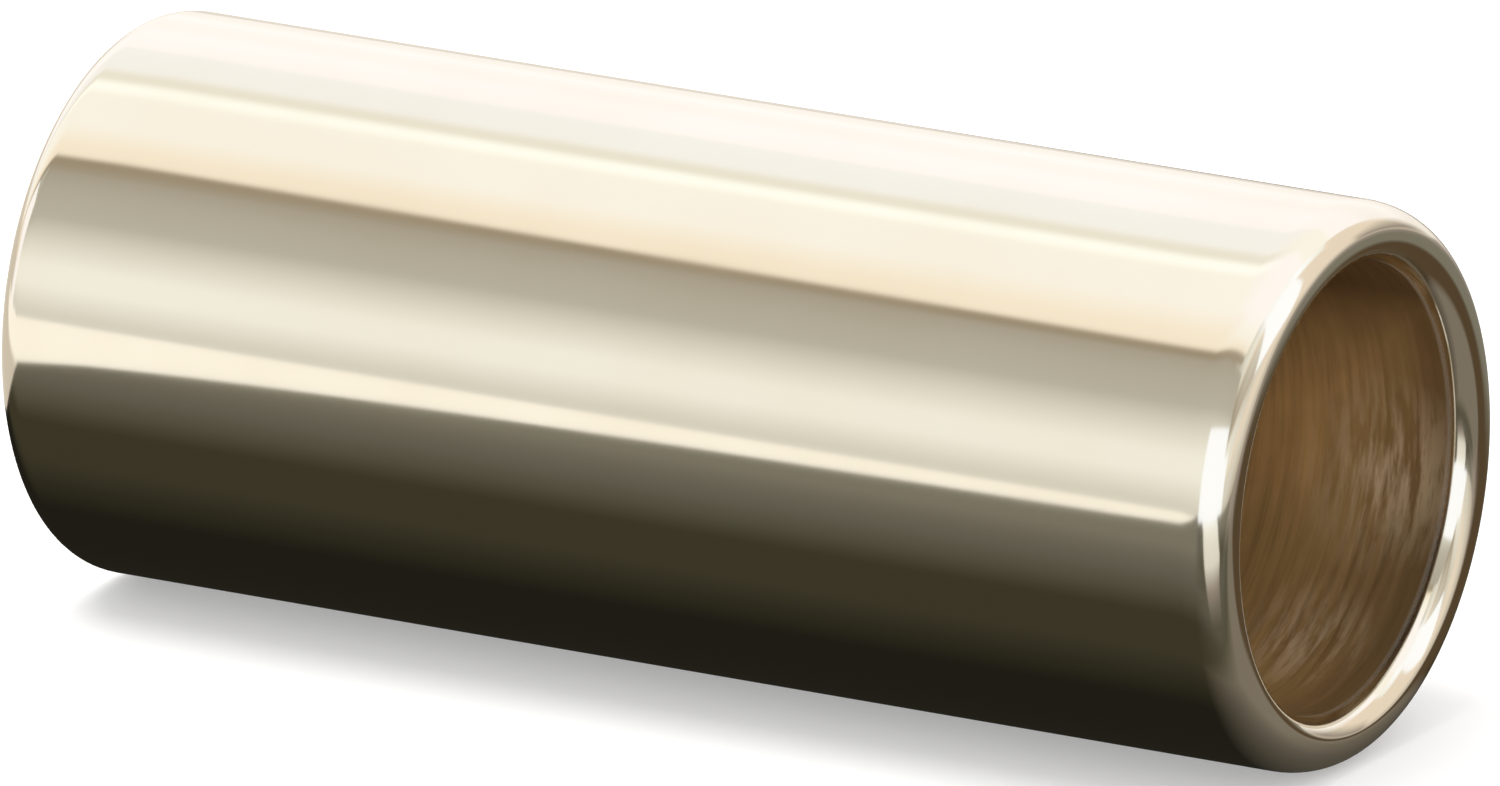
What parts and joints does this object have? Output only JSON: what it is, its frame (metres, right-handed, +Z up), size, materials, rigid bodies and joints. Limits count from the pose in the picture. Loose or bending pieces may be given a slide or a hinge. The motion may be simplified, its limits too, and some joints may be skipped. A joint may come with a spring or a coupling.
{
  "type": "guitar slide",
  "caption": "Straight metal tube worn on a finger and slid along guitar strings, open at each end, with rounded polished edges.",
  "frame": {"origin": "on the bore's axis, halfway between the two end faces", "axes": "+X along the bore's axis, +Z up with the tube lying on its side, +Y across it"},
  "size_m": [0.054, 0.022, 0.022],
  "materials": {
    "polished_plate": "polished"
  },
  "bodies": {
    "root": {"slide_tube": "polished_plate"}
  },
  "joints": []
}
